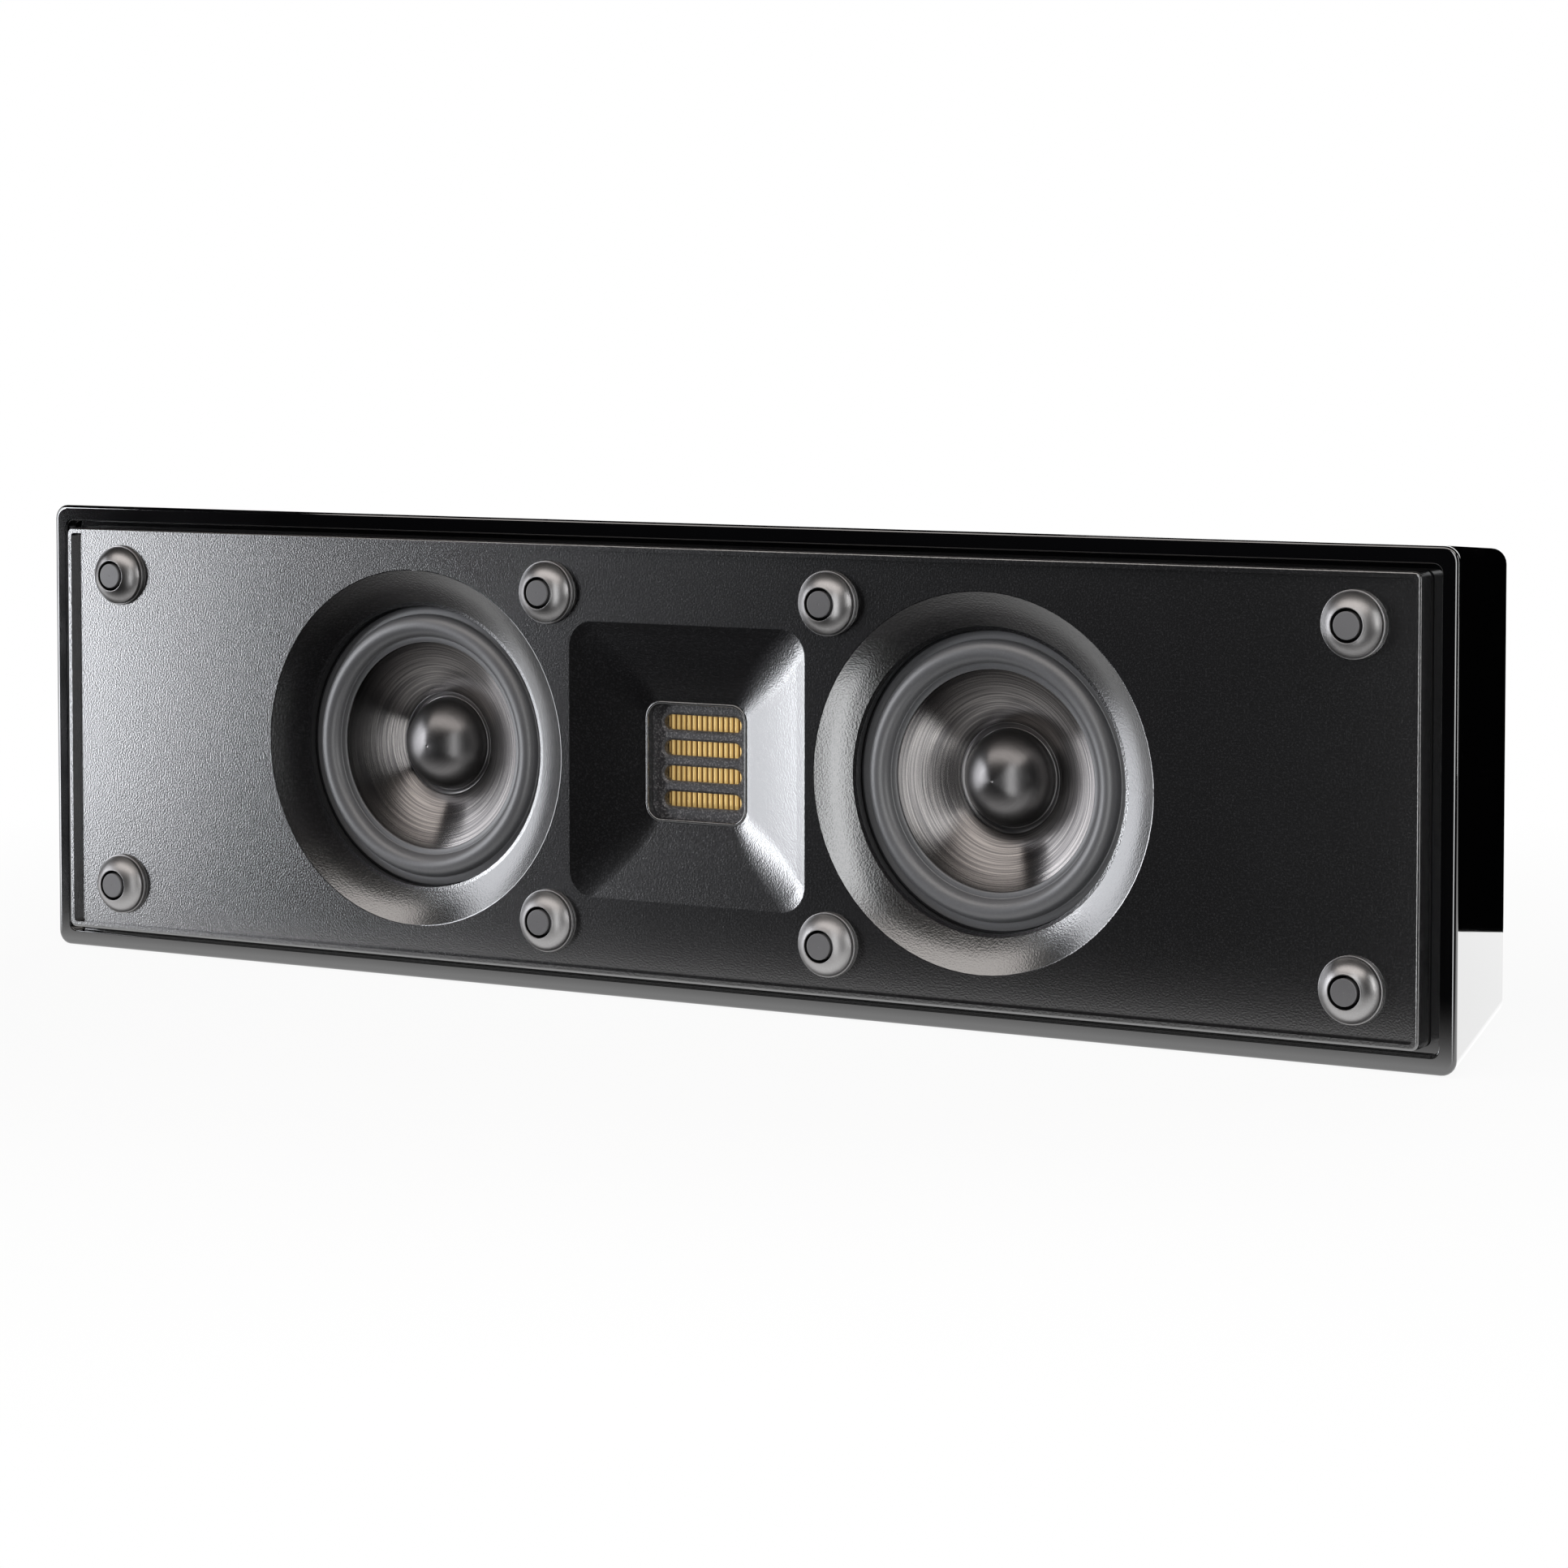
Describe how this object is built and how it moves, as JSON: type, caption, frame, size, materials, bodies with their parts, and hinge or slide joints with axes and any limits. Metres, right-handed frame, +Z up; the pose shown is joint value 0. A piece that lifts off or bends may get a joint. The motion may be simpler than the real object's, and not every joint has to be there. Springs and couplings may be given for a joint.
{
  "type": "center channel loudspeaker",
  "caption": "Slim gloss-black centre loudspeaker: cone woofers either side of a folded-film tweeter in a tapered cabinet, with grille studs and rear binding posts.",
  "frame": {"origin": "on the shelf, under the middle of the whole part's box", "axes": "+X to the right seen from the front, +Y to the back, +Z up; the baffle faces -Y"},
  "size_m": [0.55, 0.1002, 0.1625],
  "materials": {
    "cabinet_lacquer": "gloss black lacquer",
    "rear_board": "satin black paint",
    "glue_block": "sawn",
    "foot_rubber": "matt",
    "gasket_foam": "open foam",
    "baffle_plastic": "fine-grained satin charcoal",
    "stud_plastic": "satin",
    "stud_magnet": "satin",
    "screw_steel": "black zinc",
    "basket_steel": "black powder coat",
    "surround_rubber": "satin",
    "cone_metal": "black anodised, spun",
    "coil_copper": "enamelled winding",
    "spider_cloth": "resin-stiffened weave",
    "motor_steel": "zinc plated",
    "ferrite": "pressed ferrite",
    "tab_brass": "stamped",
    "tweeter_plate": "grained",
    "film_gold": "metallised film",
    "magnet_plate": "nickel plated",
    "board_laminate": "laminate",
    "standoff_nylon": "moulded",
    "capacitor_wrap": "wrapped film",
    "resistor_cement": "cement",
    "cup_plastic": "satin black",
    "post_gold": "gold plated",
    "knob_red": "moulded",
    "knob_black": "moulded",
    "hanger_steel": "black zinc",
    "wadding": "polyester wadding"
  },
  "bodies": {
    "cabinet": {"cabinet_shell": "cabinet_lacquer", "rear_panel": "rear_board", "baffle_blocks": "glue_block", "shelf_feet": "foot_rubber", "baffle_gasket": "gasket_foam", "tweeter_gasket": "gasket_foam", "left_gasket": "gasket_foam", "right_gasket": "gasket_foam", "front_baffle": "baffle_plastic", "grille_studs": "stud_plastic", "stud_magnets": "stud_magnet", "baffle_screws": "screw_steel", "tweeter_screws": "screw_steel", "board_screws": "screw_steel", "cup_screws": "screw_steel", "hanger_screws": "screw_steel", "left_woofer_screws": "screw_steel", "right_woofer_screws": "screw_steel", "left_basket": "basket_steel", "right_basket": "basket_steel", "left_surround": "surround_rubber", "right_surround": "surround_rubber", "crossover_coils": "coil_copper", "left_spider": "spider_cloth", "right_spider": "spider_cloth", "left_top_plate": "motor_steel", "right_top_plate": "motor_steel", "left_yoke": "motor_steel", "right_yoke": "motor_steel", "left_magnet": "ferrite", "right_magnet": "ferrite", "left_terminal_tabs": "tab_brass", "right_terminal_tabs": "tab_brass", "tweeter_front_plate": "tweeter_plate", "tweeter_frame": "tweeter_plate", "tweeter_back_cover": "tweeter_plate", "tweeter_spacers": "tweeter_plate", "tweeter_film": "film_gold", "tweeter_magnets": "magnet_plate", "tweeter_rear_plate": "magnet_plate", "crossover_board": "board_laminate", "board_standoffs": "standoff_nylon", "crossover_capacitors": "capacitor_wrap", "crossover_resistors": "resistor_cement", "terminal_cup": "cup_plastic", "red_post": "post_gold", "black_post": "post_gold", "post_lock_nuts": "post_gold", "keyhole_plates": "hanger_steel", "damping_wadding": "wadding"},
    "left_diaphragm": {"left_cone": "cone_metal", "left_dust_cap": "cone_metal", "left_voice_coil": "coil_copper"},
    "right_diaphragm": {"right_cone": "cone_metal", "right_dust_cap": "cone_metal", "right_voice_coil": "coil_copper"},
    "red_clamp": {"red_washer": "post_gold"},
    "red_screw_knob": {"red_knob": "knob_red"},
    "black_clamp": {"black_washer": "post_gold"},
    "black_screw_knob": {"black_knob": "knob_black"}
  },
  "joints": [
    {"name": "left_cone_travel", "type": "slide", "parent": "cabinet", "child": "left_diaphragm", "axis": [0, -1, 0], "range_m": [-0.004, 0.004], "stiffness_N_per_m": 1200, "deforming": ["left_surround", "left_spider"]},
    {"name": "right_cone_travel", "type": "slide", "parent": "cabinet", "child": "right_diaphragm", "axis": [0, -1, 0], "range_m": [-0.004, 0.004], "stiffness_N_per_m": 1200, "deforming": ["right_surround", "right_spider"]},
    {"name": "red_clamp_lift", "type": "slide", "parent": "cabinet", "child": "red_clamp", "axis": [0, 1, 0], "range_m": [0, 0.0024]},
    {"name": "red_knob_turn", "type": "hinge", "parent": "red_clamp", "child": "red_screw_knob", "pos_m": [0.014, 0.03815, 0.0815], "axis": [0, 1, 0], "range_deg": [0, 1080]},
    {"name": "black_clamp_lift", "type": "slide", "parent": "cabinet", "child": "black_clamp", "axis": [0, 1, 0], "range_m": [0, 0.0024]},
    {"name": "black_knob_turn", "type": "hinge", "parent": "black_clamp", "child": "black_screw_knob", "pos_m": [-0.014, 0.03815, 0.0815], "axis": [0, 1, 0], "range_deg": [0, 1080]}
  ],
  "couplings": [
    {"joint": "red_knob_turn", "follows": "red_clamp_lift", "rad_per_m": 7854},
    {"joint": "black_knob_turn", "follows": "black_clamp_lift", "rad_per_m": 7854}
  ]
}
